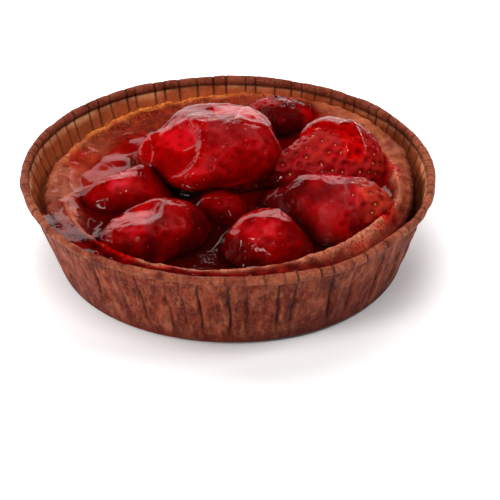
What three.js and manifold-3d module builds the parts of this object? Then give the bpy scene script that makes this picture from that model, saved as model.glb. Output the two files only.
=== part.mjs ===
// A strawberry tart in its pleated paper case.
//
// A round crust with a raised, uneven rim sits in a thin paper case with a rolled edge. The hollow
// in the crust holds a pool of set jelly, and eight halved strawberries stand in the pool with
// their cut faces down. Millimetres, +Z up, origin on the table under the middle of the case.

import * as THREE from 'three';
import { mergeVertices } from 'three/addons/utils/BufferGeometryUtils.js';
import Module from 'manifold-3d';

// ---- driving dimensions ----------------------------------------------------------------------

const GAP = 0.3;                     // clearance kept between two pieces that touch

const CASE = {
  rimRadius: 57.7,                   // outside of the rolled edge
  rimBand: 3,                        // height of the rolled edge
  rimWidth: 3,                       // how far the roll reaches inwards
  height: 27.3,
  wallTopRadius: 55.7,               // outside of the wall just under the rolled edge
  cornerRadius: 48.4,                // outside of the wall where it turns in at the bottom
  cornerHeight: 2,
  footRadius: 46,                    // edge of the flat base
  baseShift: { x: 0.9, y: -0.6 },    // the base lies that much off the middle of the rim
  paper: 0.8,
  pleats: 86,
  pleatDepth: 0.35,                  // how far a fold stands out of the mean wall
  frontDip: 1.2,                     // the rolled edge hangs that much lower in front
  bulges: [                          // where the filling has pressed the wall out, in degrees
    { at: -60, spread: 18, size: 1.9 },
    { at: -132, spread: 18, size: 1 },
    { at: -25, spread: 16, size: 1 },
  ],
};

const CRUST = {
  segments: 96,
  bottom: CASE.paper + GAP,
  footRadius: 42.9,
  edgeDrop: 2.2,                     // the outer wall turns over into the rim that far below it
  floorRadius: 37.5,                 // edge of the hollow's floor
  floorHeight: 15.5,
  waves: [                           // slow waves that make the rim uneven
    { count: 5, size: 0.25, phase: 0.4 },
    { count: 9, size: 0.2, phase: 1.9 },
    { count: 14, size: 0.12, phase: 3.1 },
  ],
};

// The rim of the crust at some directions (degrees): the radius and height of its outer edge, and
// of the crest on its inner side. In front the crest stands above the edge.
const RIM = [
  { at: -180, edge: 50.9, edgeTop: 22.6, crest: 44.5, crestTop: 21.8 },
  { at: -160, edge: 51.4, edgeTop: 22.4, crest: 46.5, crestTop: 22.4 },
  { at: -140, edge: 53.2, edgeTop: 22.2, crest: 48, crestTop: 22.9 },
  { at: -120, edge: 53.8, edgeTop: 22.2, crest: 47.6, crestTop: 23.1 },
  { at: -90, edge: 54, edgeTop: 22.4, crest: 46.8, crestTop: 23.2 },
  { at: -60, edge: 52.4, edgeTop: 22.3, crest: 44.6, crestTop: 23.2 },
  { at: -35, edge: 51.2, edgeTop: 22.4, crest: 45.6, crestTop: 23.1 },
  { at: -10, edge: 50.7, edgeTop: 22.8, crest: 47.4, crestTop: 22.4 },
  { at: 20, edge: 52.8, edgeTop: 24, crest: 46.8, crestTop: 22.6 },
  { at: 50, edge: 54, edgeTop: 25, crest: 46.2, crestTop: 23.4 },
  { at: 80, edge: 53, edgeTop: 24.5, crest: 45.8, crestTop: 23 },
  { at: 115, edge: 50.6, edgeTop: 23.9, crest: 45.2, crestTop: 22.5 },
  { at: 150, edge: 49.5, edgeTop: 23.3, crest: 44.6, crestTop: 21.9 },
];

const JELLY_LEVEL = 19.8;            // top of the jelly pool

// Each strawberry is one to three rounded lobes. A lobe has its middle at x, y, its cut plane at
// height z, half its length and half its width, its rise above the cut plane, and the way it
// points (turn, degrees from +X). taper narrows the pointed end, pitch tips that end up, and fill
// is the exponent of the rounding: 2 is an ellipsoid, more is fuller.
const STRAWBERRIES = {
  strawberry_back_left: [
    { x: 1.7, y: 13, z: 18.5, half: 13.2, width: 14.2, rise: 16.2, turn: 188, taper: 0, fill: 2.3 },
    { x: -4.3, y: 19, z: 18.5, half: 11.8, width: 12.2, rise: 17.2, turn: 188, taper: 0, fill: 2.3 },
    { x: -14, y: 10, z: 22.5, half: 13.5, width: 8.8, rise: 9.2, turn: -42, taper: 0.05, fill: 2.3,
      pitch: -4, hang: 2 },
  ],
  strawberry_back_right: [
    { x: 28.3, y: 13, z: 18.5, half: 17.2, width: 12.7, rise: 15, turn: 207, taper: 0.5, fill: 2 },
  ],
  strawberry_right: [
    { x: 28, y: -10.5, z: 18, half: 18, width: 12.2, rise: 12.2, turn: 165, taper: 0.35, fill: 2.25 },
  ],
  strawberry_front: [
    { x: 10.5, y: -27, z: 17.5, half: 11.7, width: 10.7, rise: 12, turn: -35, taper: 0, fill: 2.05 },
    { x: 1, y: -30, z: 17.5, half: 7.7, width: 6.7, rise: 5.2, turn: 0, taper: 0.1, fill: 2.2 },
  ],
  strawberry_front_left: [
    { x: -17, y: -23, z: 17.5, half: 17.2, width: 8.7, rise: 11.2, turn: 28, taper: 0, fill: 2.2 },
  ],
  strawberry_left: [
    { x: -25, y: -1.5, z: 17.5, half: 14.2, width: 8.2, rise: 10.2, turn: 20, taper: 0.1, fill: 2.2 },
  ],
  strawberry_centre: [
    { x: -1.3, y: -9.5, z: 17.5, half: 6.8, width: 5.8, rise: 7.7, turn: -20, taper: 0.2, fill: 2.2 },
  ],
  strawberry_back: [
    { x: 12.8, y: 41.3, z: 20, half: 10.2, width: 8.2, rise: 7, turn: 160, taper: 0.15, fill: 2.2,
      hang: 2 },
  ],
};

const LOBE_AROUND = 16;              // facets round a lobe
const LOBE_UP = 8;                   // facets from its bottom to its top
const BERRY_BOTTOM = CRUST.floorHeight + GAP;
const CUTTER_DEPTH = 3;              // how far a cutting shape reaches below the berry it is made from
const FLOOR_CLEAR = 0.05;            // berries leave the flat floor of the hollow whole

// ---- small helpers ---------------------------------------------------------------------------

const { degToRad, lerp, radToDeg, smoothstep } = THREE.MathUtils;

// The angle between two directions in degrees, from -180 to 180.
const turnBetween = (from, to) => ((((to - from) % 360) + 540) % 360) - 180;

// A closed solid from rings of points: the rows run from one point on the axis to another, and
// point(row, angle) gives a vertex. Rows 0 and last are single points.
function solidOfRings(rows, segments, point) {
  const positions = [];
  const triangles = [];
  positions.push(...point(0, 0));
  for (let row = 1; row < rows - 1; row += 1) {
    for (let i = 0; i < segments; i += 1) {
      positions.push(...point(row, (i / segments) * 2 * Math.PI, i));
    }
  }
  positions.push(...point(rows - 1, 0));
  const last = positions.length / 3 - 1;
  const ring = (row, i) => 1 + (row - 1) * segments + (i % segments);
  for (let i = 0; i < segments; i += 1) {
    triangles.push(0, ring(1, i + 1), ring(1, i));
    triangles.push(last, ring(rows - 2, i), ring(rows - 2, i + 1));
    for (let row = 1; row < rows - 2; row += 1) {
      triangles.push(ring(row, i), ring(row, i + 1), ring(row + 1, i));
      triangles.push(ring(row + 1, i), ring(row, i + 1), ring(row + 1, i + 1));
    }
  }
  const geometry = new THREE.BufferGeometry();
  geometry.setAttribute('position', new THREE.Float32BufferAttribute(positions, 3));
  geometry.setIndex(triangles);
  return geometry;
}

const wasm = await Module();
wasm.setup();

function toManifold(geometry) {
  const plain = geometry.clone();
  plain.deleteAttribute('normal');
  plain.deleteAttribute('uv');
  const merged = mergeVertices(plain, 1e-5);
  return new wasm.Manifold(new wasm.Mesh({
    numProp: 3,
    vertProperties: new Float32Array(merged.attributes.position.array),
    triVerts: new Uint32Array(merged.index.array),
  }));
}

function toGeometry(solid) {
  const mesh = solid.getMesh();
  const geometry = new THREE.BufferGeometry();
  geometry.setAttribute('position', new THREE.BufferAttribute(new Float32Array(mesh.vertProperties), 3));
  geometry.setIndex(new THREE.BufferAttribute(new Uint32Array(mesh.triVerts), 1));
  return geometry;
}

// The largest of the separate bodies that a cut leaves.
function largestBody(solid) {
  const bodies = solid.decompose();
  return bodies.reduce((best, body) => (body.volume() > best.volume() ? body : best));
}

function namedMesh(name, geometry, color, roughness) {
  geometry.computeVertexNormals();
  const material = new THREE.MeshStandardMaterial({ color, roughness, metalness: 0 });
  const mesh = new THREE.Mesh(geometry, material);
  mesh.name = name;
  return mesh;
}

// ---- paper case ------------------------------------------------------------------------------

// How far the top of the wall stands out from the round at an angle.
function caseBulge(angle) {
  const degrees = radToDeg(angle);
  return CASE.bulges.reduce((sum, { at, spread, size }) => (
    sum + size * Math.exp(-((turnBetween(at, degrees) / spread) ** 2))
  ), 0);
}

// How far a point of the case hangs lower in front, most at the rolled edge.
const caseDip = (angle, z) => (
  CASE.frontDip * Math.max(0, -Math.sin(angle)) ** 2 * (z / CASE.height) ** 2
);

// How much of the base's shift a height takes part in.
const shiftShare = (z) => 1 - z / CASE.height;

// The smallest radius of the inside of the pleated wall at a height.
function caseInside(angle, z) {
  const top = CASE.height - CASE.rimBand;
  const climb = (z - CASE.cornerHeight) / (top - CASE.cornerHeight);
  const straight = CASE.cornerRadius + climb * (CASE.wallTopRadius - CASE.cornerRadius);
  const { x, y } = CASE.baseShift;
  const shift = (x * Math.cos(angle) + y * Math.sin(angle)) * shiftShare(z);
  return straight - CASE.paper - CASE.pleatDepth + caseBulge(angle) * (z / CASE.height) + shift;
}

// An open cup of thin paper: out along the base, up the pleated wall, over the rolled edge and
// back down the inside. Every second point round the wall stands out, which makes the folds.
function paperCase() {
  const rimBottom = CASE.height - CASE.rimBand;
  const rimInside = CASE.rimRadius - CASE.rimWidth;
  const profile = [
    { r: 0, z: 0, fold: 0 },
    { r: CASE.footRadius, z: 0, fold: 0 },
    { r: CASE.cornerRadius, z: CASE.cornerHeight, fold: 0.6 },
    { r: CASE.wallTopRadius, z: rimBottom - 0.7, fold: 1 },
    { r: CASE.rimRadius - 0.3, z: rimBottom, fold: 0 },
    { r: CASE.rimRadius, z: CASE.height - 1.1, fold: 0 },
    { r: CASE.rimRadius - 1.4, z: CASE.height, fold: 0 },
    { r: rimInside, z: CASE.height - 0.7, fold: 0 },
    { r: CASE.wallTopRadius - CASE.paper, z: rimBottom - 0.7, fold: 1 },
    { r: CASE.cornerRadius - CASE.paper, z: CASE.cornerHeight, fold: 0.6 },
    { r: CASE.footRadius - CASE.paper / 2, z: CASE.paper, fold: 0 },
    { r: 0, z: CASE.paper, fold: 0 },
  ];
  return solidOfRings(profile.length, 2 * CASE.pleats, (row, angle, index = 0) => {
    const { r, z, fold } = profile[row];
    const side = index % 2 === 0 ? 1 : -1;
    const bulge = r > 0 ? caseBulge(angle) * (z / CASE.height) : 0;
    const radius = r + bulge + side * fold * CASE.pleatDepth;
    return [
      radius * Math.cos(angle) + CASE.baseShift.x * shiftShare(z),
      radius * Math.sin(angle) + CASE.baseShift.y * shiftShare(z),
      z - caseDip(angle, z),
    ];
  });
}

// ---- crust -----------------------------------------------------------------------------------

const wave = (angle) => CRUST.waves
  .reduce((sum, { count, size, phase }) => sum + size * Math.sin(count * angle + phase), 0);

// A value of the rim at an angle, eased from one row of RIM to the next.
function rimValue(key, angle) {
  const degrees = turnBetween(0, radToDeg(angle));
  const next = RIM.findIndex((row) => row.at > degrees);
  const after = RIM[next === -1 ? 0 : next];
  const before = RIM[next === -1 ? RIM.length - 1 : next - 1];
  const span = (after.at - before.at + 360) % 360;
  const share = smoothstep(turnBetween(before.at, degrees) / span, 0, 1);
  return lerp(before[key], after[key], share);
}

const crestRadius = (angle) => rimValue('crest', angle) + wave(2 * angle);
const crestTop = (angle) => rimValue('crestTop', angle) + wave(angle);
const edgeTop = (angle) => rimValue('edgeTop', angle) + wave(angle);

// The outer edge of the rim, which the paper wall holds in.
function edgeRadius(angle) {
  const wall = caseInside(angle, edgeTop(angle) - CRUST.edgeDrop) - GAP;
  return Math.min(rimValue('edge', angle) + wave(angle), wall);
}

// Out along the base, up the outer wall, over the rounded rim to the crest, down the inner slope
// to the floor of the hollow.
function crustBody() {
  const rows = [
    () => [0, CRUST.bottom],
    () => [CRUST.footRadius, CRUST.bottom],
    () => [CRUST.footRadius + 2, CRUST.bottom + 2],
    (angle) => [edgeRadius(angle) - 1.2, edgeTop(angle) - CRUST.edgeDrop - 2],
    (angle) => [edgeRadius(angle), edgeTop(angle) - CRUST.edgeDrop],
    (angle) => [edgeRadius(angle) - 1.6, edgeTop(angle)],
    (angle) => [crestRadius(angle), crestTop(angle)],
    () => [CRUST.floorRadius, CRUST.floorHeight],
    () => [0, CRUST.floorHeight],
  ];
  return solidOfRings(rows.length, CRUST.segments, (row, angle) => {
    const [radius, z] = rows[row](angle);
    return [radius * Math.cos(angle), radius * Math.sin(angle), z];
  });
}

// ---- jelly -----------------------------------------------------------------------------------

// The pool fills the hollow up to its level, a gap inside the crust's inner slope.
function jellyPool() {
  const shoreRadius = (angle) => {
    const climb = (JELLY_LEVEL - CRUST.floorHeight) / (crestTop(angle) - CRUST.floorHeight);
    return CRUST.floorRadius + climb * (crestRadius(angle) - CRUST.floorRadius) - 2 * GAP;
  };
  const rows = [
    () => [0, CRUST.floorHeight + GAP],
    () => [CRUST.floorRadius - 2 * GAP, CRUST.floorHeight + GAP],
    (angle) => [shoreRadius(angle), JELLY_LEVEL],
    () => [0, JELLY_LEVEL],
  ];
  return solidOfRings(rows.length, CRUST.segments, (row, angle) => {
    const [radius, z] = rows[row](angle);
    return [radius * Math.cos(angle), radius * Math.sin(angle), z];
  });
}

// ---- strawberries ----------------------------------------------------------------------------

// A point of the unit sphere with its corners filled out, so that a lobe can be fuller than an
// ellipsoid.
function fullerSpherePoint(up, angle, fill) {
  const power = 2 / fill;
  const keepSign = (value) => Math.sign(value) * Math.abs(value) ** power;
  const level = keepSign(Math.cos(up));
  return [level * Math.cos(angle), level * Math.sin(angle), keepSign(Math.sin(up))];
}

// One lobe, larger on every side by grow. Below its cut plane it reaches down by hang, or to the
// floor of the hollow where none is given.
function lobe(shape, grow, below) {
  const { x, y, z, half, width, rise, turn, taper, fill, pitch = 0 } = shape;
  const depth = shape.hang === undefined ? z - BERRY_BOTTOM + below : shape.hang + grow;
  const geometry = solidOfRings(LOBE_UP + 1, LOBE_AROUND, (row, angle) => {
    const up = -Math.PI / 2 + (row / LOBE_UP) * Math.PI;
    const [along, across, above] = fullerSpherePoint(up, angle, fill);
    const lift = above > 0 ? above * (rise + grow) : above * depth;
    return [
      along * (half + grow),
      across * (width + grow) * (1 - taper * along),
      lift * (1 - 0.5 * taper * along),
    ];
  });
  geometry.rotateY(degToRad(-pitch));
  geometry.rotateZ(degToRad(turn));
  geometry.translate(x, y, z);
  return toManifold(geometry);
}

const wholeBerry = (lobes, grow, below) => lobes
  .map((shape) => lobe(shape, grow, below))
  .reduce((sum, piece) => sum.add(piece));

// Everything above a height, as a wide box.
function allAbove(height) {
  const size = 3 * CASE.rimRadius;
  const box = new THREE.BoxGeometry(size, size, size);
  box.translate(0, 0, size / 2 + height);
  return toManifold(box);
}

// Each berry is cut flat just above the floor of the hollow, and makes way for those named before
// it, so that no two overlap. taken is the room that all of them need, which reaches below the
// floor.
function strawberries() {
  const room = allAbove(BERRY_BOTTOM);
  const pieces = {};
  let taken = null;
  for (const [name, lobes] of Object.entries(STRAWBERRIES)) {
    let berry = wholeBerry(lobes, 0, CUTTER_DEPTH).intersect(room);
    if (taken) berry = berry.subtract(taken);
    pieces[name] = largestBody(berry);
    const grown = wholeBerry(lobes, GAP, 2 * CUTTER_DEPTH);
    taken = taken ? taken.add(grown) : grown;
  }
  return { pieces, taken };
}

// ---- the whole tart --------------------------------------------------------------------------

const tart = new THREE.Group();
tart.name = 'strawberry_tart';

const { pieces, taken } = strawberries();
const takenAboveFloor = taken.intersect(allAbove(CRUST.floorHeight + FLOOR_CLEAR));
const crust = largestBody(toManifold(crustBody()).subtract(takenAboveFloor));
const jelly = largestBody(toManifold(jellyPool()).subtract(taken));

tart.add(namedMesh('paper_case', paperCase(), 0x8a4a34, 0.85));
tart.add(namedMesh('crust', toGeometry(crust), 0xb5702f, 0.8));
tart.add(namedMesh('jelly', toGeometry(jelly), 0x5a0a10, 0.08));
for (const [name, solid] of Object.entries(pieces)) {
  tart.add(namedMesh(name, toGeometry(solid), 0xb01018, 0.15));
}

export default tart;
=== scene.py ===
import itertools
import math

import bpy
import numpy as np
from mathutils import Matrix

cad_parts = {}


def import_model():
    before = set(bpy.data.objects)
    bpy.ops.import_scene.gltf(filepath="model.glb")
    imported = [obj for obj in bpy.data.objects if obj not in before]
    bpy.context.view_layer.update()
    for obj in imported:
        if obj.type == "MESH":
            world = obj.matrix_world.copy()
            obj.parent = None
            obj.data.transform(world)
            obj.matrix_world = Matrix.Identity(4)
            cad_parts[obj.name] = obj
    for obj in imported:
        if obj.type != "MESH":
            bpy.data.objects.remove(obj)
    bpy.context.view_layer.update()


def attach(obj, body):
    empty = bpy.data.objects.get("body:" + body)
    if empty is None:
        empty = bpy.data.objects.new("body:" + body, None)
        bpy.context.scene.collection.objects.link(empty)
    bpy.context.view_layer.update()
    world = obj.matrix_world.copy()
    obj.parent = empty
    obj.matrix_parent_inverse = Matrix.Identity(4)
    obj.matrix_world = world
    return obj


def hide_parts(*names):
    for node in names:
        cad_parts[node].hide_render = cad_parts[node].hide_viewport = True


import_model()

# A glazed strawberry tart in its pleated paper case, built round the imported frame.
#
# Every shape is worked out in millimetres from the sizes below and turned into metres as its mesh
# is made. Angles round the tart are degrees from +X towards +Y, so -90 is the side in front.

import openvdb as vdb
from mathutils import Vector

MM = 0.001

# ---- driving dimensions, in millimetres ---------------------------------------------------------

CASE = {
    "pleats": 76,
    "points_per_pleat": 12,
    "foot_radius": 46.0,
    "corner_radius": 48.4,
    "corner_height": 2.0,
    "wall_top_radius": 56.1,
    "wall_top_height": 25.1,
    "height": 27.3,
    "paper": 0.55,
    "roll_radius": 56.55,            # middle of the rolled edge
    "roll_height": 25.95,
    "roll_half_width": 1.15,
    "roll_half_height": 1.35,
    "front_dip": 1.2,
    "base_shift": (0.9, -0.6),
}

PLEAT_RADIUS = 54.0                  # where the widths of the folds in the wall are measured
SEAM_RADIUS = 57.0                   # and of those in the roll

# Where the filling has pressed the paper wall out: direction, spread, size.
CASE_BULGES = [(-60, 18, 1.9), (-132, 18, 1.0), (-25, 16, 1.0)]
LEFT_FRONT = (-125, 32)              # where the jelly has run over the edge: direction, spread

# Deep folds in the outside of the wall: direction, depth, height of the upper end, lean in degrees.
CASE_SLITS = [
    (-129.8, 0.70, 22.5, -3.0),
    (-122.0, 0.35, 22.0, -1.0),
    (-117.0, 0.75, 22.5, 1.0),
    (-108.0, 0.50, 22.5, 0.0),
    (-104.0, 0.45, 22.0, 1.0),
    (-98.7, 0.75, 22.5, 0.0),
    (-89.6, 0.70, 22.0, -1.0),
    (-84.5, 0.45, 21.0, -1.0),
    (-76.2, 0.75, 22.5, 0.5),
    (-71.5, 0.60, 22.5, 0.0),
    (-61.3, 0.80, 22.0, 3.0),
    (-53.0, 0.40, 22.0, 1.0),
    (-42.4, 0.70, 22.5, 2.0),
    (-32.0, 0.40, 22.0, 1.0),
    (-150.0, 0.50, 22.0, -4.0),
    (-20.0, 0.55, 22.0, 2.0),
]

# The shape of such a fold: distance from its line, depth and width of the cut and its raised lips.
SLIT_SHAPE = [(0, 1, 0.6), (1.5, -0.75, 0.9), (-1.8, -0.3, 1.2)]

# The rim of the crust: direction, outer edge radius and height, crest radius and height, and how
# deep the trough between the two is.
RIM = [
    (-180, 50.9, 22.6, 45.5, 22.3, 0.2),
    (-160, 51.4, 22.2, 46.2, 22.6, 0.5),
    (-145, 53.2, 21.4, 46.8, 22.3, 1.4),
    (-125, 53.8, 20.6, 47.0, 22.0, 1.4),
    (-100, 54.0, 20.4, 46.2, 21.9, 1.2),
    (-80, 53.6, 20.4, 45.4, 22.0, 1.0),
    (-60, 52.0, 19.6, 45.4, 22.8, 0.4),
    (-35, 51.2, 18.6, 46.2, 23.4, 0.0),
    (-10, 52.2, 20.2, 47.6, 22.8, 0.0),
    (20, 53.7, 23.6, 46.8, 22.4, 0.0),
    (50, 54.0, 24.6, 46.2, 22.8, 0.0),
    (80, 53.0, 24.2, 45.8, 22.4, 0.0),
    (115, 50.6, 23.6, 45.2, 22.0, 0.0),
    (150, 49.5, 23.1, 44.6, 21.7, 0.0),
]

CRUST = {
    "bottom": 1.1,
    "foot_radius": 42.9,
    "floor_radius": 37.5,
    "floor_height": 16.5,
    "edge_drop": 2.2,
    "edge_round": 1.6,
}

# On the left the crust comes up to just under the jelly well inside its crest.
SHELF = {"at": 172, "spread": 46, "from": 35.0, "height": 20.0}

# Parts of the rim: direction, spread.
BARE_RIM = (112, 46)                 # golden and dry
RIGHT_RIM = (15, 50)                 # rough and soaked

CRUST_COLUMNS = 640
CRUST_ROWS = {"shore": 34, "flat": 22, "edge": 10, "wall": 26}

POOL_LEVEL = 20.3
OUTER_POOL_LEVEL = 21.3              # jelly between the crest of the crust and the paper in front
OUTER_POOL = (-168, -66)             # from and to these directions

# Strawberry lobes: x, y, height of the cut plane, half length, half width, rise, direction of the
# tip, taper, fullness, and how far it hangs below the cut plane.
BERRIES = {
    "strawberry_back_left": [
        (1.3, 14.8, 18.5, 13.6, 13.4, 16.8, 188, 0, 2.9, 2.7),
        (-4.3, 17.4, 18.5, 12.2, 12.4, 17.6, 188, 0, 2.8, 2.7),
        (-11.4, 10.0, 22.7, 14.2, 10.4, 8.4, -43, -0.05, 3.0, 1.0),
    ],
    "strawberry_back_right": [
        (29.2, 13.0, 18.5, 15.3, 12.5, 14.2, 205, 0.4, 2.1, 2.7),
        (17.2, 8.9, 18.5, 12.5, 5.8, 8.8, 194, 0.3, 2.0, 2.7),
    ],
    "strawberry_right": [
        (28.0, -11.4, 18, 18.4, 8.6, 12.0, 172, 0.25, 2.3, 2.2),
        (27.6, -17.0, 18, 11.4, 10.8, 9.6, -88, 0.45, 2.2, 2.2),
    ],
    "strawberry_front": [(11.8, -30.6, 17.5, 11.0, 10.2, 12.2, -30, 0.25, 2.1, 1.7)],
    "strawberry_front_left": [(-19.9, -25.0, 17.5, 15.0, 9.8, 11.6, 31, 0.05, 2.4, 1.7)],
    "strawberry_left": [(-28.0, -3.4, 17.5, 12.4, 7.2, 9.8, 198, 0.3, 2.3, 1.7)],
    "strawberry_centre": [(-1.2, -10.3, 17.5, 6.6, 5.4, 6.8, -35, 0.2, 2.2, 1.7)],
    "strawberry_back": [(14.6, 40.6, 20, 10.4, 6.6, 7.6, 165, 0.1, 2.1, 2.0)],
}

# Flat places on the berries: a point on each, the direction that it faces, its tilt in degrees and
# how far it reaches.
FACETS = {
    "strawberry_back_left": [
        (-3, 17, 35.0, 102, 12, 16),
        (-17, 7.5, 27.5, -128, 30, 9),
    ],
    "strawberry_right": [(22, -9, 29.4, 95, 10, 12)],
    "strawberry_front": [(7, -30, 28.4, 112, 9, 10)],
    "strawberry_front_left": [(-26, -29, 26.6, 140, 12, 8)],
    "strawberry_left": [(-31, -3, 26.4, 130, 14, 8), (-22.5, -2, 25.4, 0, 44, 9)],
    "strawberry_centre": [(-1.5, -9.5, 23.6, 120, 14, 6)],
    "strawberry_back_right": [(28.5, 17, 31.8, 95, 14, 6)],
    "strawberry_back": [(14, 38, 27.2, -92, 20, 9)],
}

LOBE_BLEND = 4.5                     # how softly the lobes of one berry run into each other
BERRY_VOXEL = 0.4
GLAZE_VOXEL = 0.45
GLAZE_BOX = ((-56.5, -57.0, 14.4), (56.5, 55.5, 38.0))
SEED_SPACING = 2.7
CRUMB_COUNT = 520
DIMPLE_RADIUS = 0.85

# How each berry looks: thickness of the glaze away from the patches below (less than 0 for bare
# skin), share of its seeds that show, depth of the dimples round them, and how dark it is.
BERRY_LOOK = {
    "strawberry_back_left": (0.45, 0.5, 0.22, 0.05),
    "strawberry_back_right": (-0.5, 0.85, 0.7, 0.15),
    "strawberry_right": (0.55, 0.8, 0.4, 0.4),
    "strawberry_front": (0.7, 0.3, 0.25, 0.5),
    "strawberry_front_left": (0.6, 0.25, 0.25, 0.7),
    "strawberry_left": (0.7, 0.15, 0.2, 0.35),
    "strawberry_centre": (0.45, 0.5, 0.25, 0.3),
    "strawberry_back": (0.7, 0.1, 0.15, 1.6),
}

# Darker places on the berries, partly painted shade on their shaded sides and partly dark blotches: middle x,
# y, z, radius, how much darker.
DARK_PATCHES = [
    (14, -12, 24, 8, 1.0),
    (18, -16, 25, 6, 0.4),
    (28, -17, 26, 7, 0.25),
    (0, 7, 32, 8, 0.25),
    (-1, 12, 34, 5, 0.3),
    (25, -25, 22, 6, 0.3),
    (3, -34, 22, 5, 0.4),
    (-9, -21, 24, 6, 0.2),
    (-19, -4, 22, 6, 0.4),
    (20, 5, 23, 7, 0.25),
]

# Patches on the tops of the berries where the glaze is thin and the fruit under it is painted pale pink, a
# painted reflection: middle x, y, z, radius.
FROST = [
    (8, -29, 28, 8.5),
    (-25, -28, 27, 7.0),
    (-14, 13, 31, 7.0),
    (2, 19, 35, 7.5),
    (-31, -2.5, 26.5, 6.0),
    (30, -10, 29, 5.5),
    (17, -8, 28, 5.0),
    (23, -8, 29.5, 5.0),
]

# Patches where the glaze is thicker or thinner: middle x, y, z, radius, change in thickness.
GLAZE_PATCHES = [
    (-18, 8, 26, 11, 0.5),
    (-6, 24, 33, 9, 0.5),
    (-3.2, 12.5, 35, 4.6, -1.2),
    (41.5, -16, 26, 9.5, -1.7),
    (24, -8, 30, 8, 0.4),
    (8, -30, 29, 6, 0.35),
]

# The thick blob of glaze over the berry at the back right: points along its middle, its half
# width and its thickness.
BLOB_PATH = [(24.0, 17.5, 30.0), (28.5, 17.5, 32.5), (33.0, 13.5, 32.0), (35.2, 8.0, 27.5)]
BLOB_HALF_WIDTH = 4.2
BLOB_THICKNESS = 2.2

# Where glaze lies on the crust: direction, radius, spread in degrees, width, size.
FILM_PATCHES = [
    (178, 43.5, 34, 6.0, 2.2),
    (137, 41.5, 16, 2.6, 1.5),
    (-150, 51.0, 20, 5.0, 2.0),
    (-105, 50.5, 42, 6.5, 1.9),
    (-150, 42.0, 25, 3.5, 1.6),
    (-100, 43.0, 30, 3.5, 1.7),
    (12, 46.0, 22, 4.0, 1.7),
    (67, 43.0, 12, 5.0, 1.8),
    (-55, 42.5, 26, 2.6, 1.6),
    (-15, 45.5, 16, 2.0, 1.5),
    (-42, 47.8, 26, 2.2, 1.35),
]

JELLY = {"ior": 1.42, "color": (0.93, 0.02, 0.045, 1), "density": 1500, "shadow": (0.9, 0.8, 0.8, 1)}

# Beads of glaze, thin raised lines that catch the light: points along each.
BEADS = [
    [(-18.5, 6.5, 26), (-15.0, 3.2, 26), (-11.0, 0.4, 25.5), (-6.0, -2.0, 24)],
    [(-24.8, 10.8, 22), (-21.3, 7.4, 22), (-16.2, 2.2, 22), (-10.5, -2.2, 21.5)],
    [(-4.0, -9.0, 23.5), (-2.6, -12.5, 23), (-1.6, -15.6, 21.5)],
    [(1.0, -31.0, 25), (6.0, -33.0, 27), (12.0, -31.5, 28.5), (17.0, -32.5, 27), (22.0, -33.5, 22)],
    [(-35.0, -31.0, 22), (-30.0, -29.0, 25.5), (-24.0, -28.5, 27), (-19.0, -24.0, 28)],
    [(-38.0, -7.0, 22), (-33.0, -5.5, 25.5), (-27.0, -5.8, 26), (-22.0, -4.5, 25)],
    [(13.5, -9.0, 25), (19.0, -11.5, 28), (23.0, -15.5, 27.5), (26.5, -14.0, 28.5), (30.0, -18.0, 27)],
    [(-33.0, -35.0, 22.5), (-24.0, -41.5, 22.3), (-12.0, -45.5, 22.2), (1.0, -46.5, 22.2),
     (13.0, -44.0, 22.5), (24.0, -39.5, 22.8)],
    [(-30.0, -42.5, 21.6), (-18.0, -47.5, 21.5), (-6.0, -50.5, 21.5), (8.0, -50.0, 21.5)],
]
SHORE_BEAD = BEADS[1]                # the berry beside it meets the pool in a sharp line here
BEAD_WIDTH = 0.65
BEAD_HEIGHT = 0.32

# Drops of jelly on the rolled edge of the case: direction, size.
DROPS = [(-128, 1.1), (-123, 0.7), (-112, 0.9), (-99, 0.6), (-84, 0.7), (-72, 0.9), (-69, 0.6)]

FULL_CRINKLE = 0.45                  # the size of crinkles that counts as 1 in the material
# Patches where the surface of the glaze is crinkled: middle x, y, z, radius, size of the crinkles.
CRINKLES = [
    (14, 36.5, 25, 7, 0.75),
    (46, 17, 22, 5, 0.3),
    (27, -27, 21, 6, 0.2),
    (-8, -36, 21, 6, 0.12),
    (-1, 11, 33, 8, 0.14),
]
# ---- light and camera, in metres and degrees ----------------------------------------------------

# Lamps: place, diameter, power in watts. All shine on the middle of the tart.
LAMPS = {
    "back": ((0.05, 0.5, 0.95), 0.8, 6.5),
    "front": ((-0.1, -0.45, 1.1), 0.6, 6.5),
    "left": ((-0.85, -0.5, 0.35), 0.4, 6.8),
    "right": ((0.75, -0.1, 0.85), 0.4, 5.6),
}
LAMP_TARGET = (0, 0, 0.02)

# What shiny surfaces mirror: direction, elevation, half width and half height in degrees, softness
# of the edge in degrees, brightness.
PANELS = [
    (108, 3, 40, 27.5, 3, 1.5),      # white wall behind
    (170, 10, 26, 9, 6, 0.3),        # white panel on the left
    (10, 8, 30, 12, 8, 0.04),        # dimmer wall on the right
    (-112, 33, 8, 4, 1.5, 7.0),      # lamp in front
    (-138, 30, 3.5, 5, 1.5, 7.0),    # lamp in front, to the left
    (-60, 62, 6, 2, 1.5, 5.0),       # small lamp above, a little to the right
]
WIDE_PANEL = 20                      # panels with a larger half width fade more slowly sideways
PANEL_COLOR = (1, 0.84, 0.82, 1)
MIRRORED_ROOM = 0.015                # brightness between the panels
AMBIENT = 0.16                       # light from all round that falls on what isn't shiny
FLOOR_RADIUS = 1500.0                # millimetres

CAMERA_PLACE = (0.0005, -0.651194, 0.386958)
CAMERA_DIRECTION = (0.00762134, 0.86007625, -0.51010858)
CAMERA_LENS = 192.08                 # millimetres, for a sensor 36 mm wide

# ---- numbers and noise --------------------------------------------------------------------------


def wrap(degrees):
    """An angle in degrees brought between -180 and 180."""
    return (np.asarray(degrees, float) + 180) % 360 - 180


def smoothstep(low, high, value):
    t = np.clip((value - low) / (high - low), 0, 1)
    return t * t * (3 - 2 * t)


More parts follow.
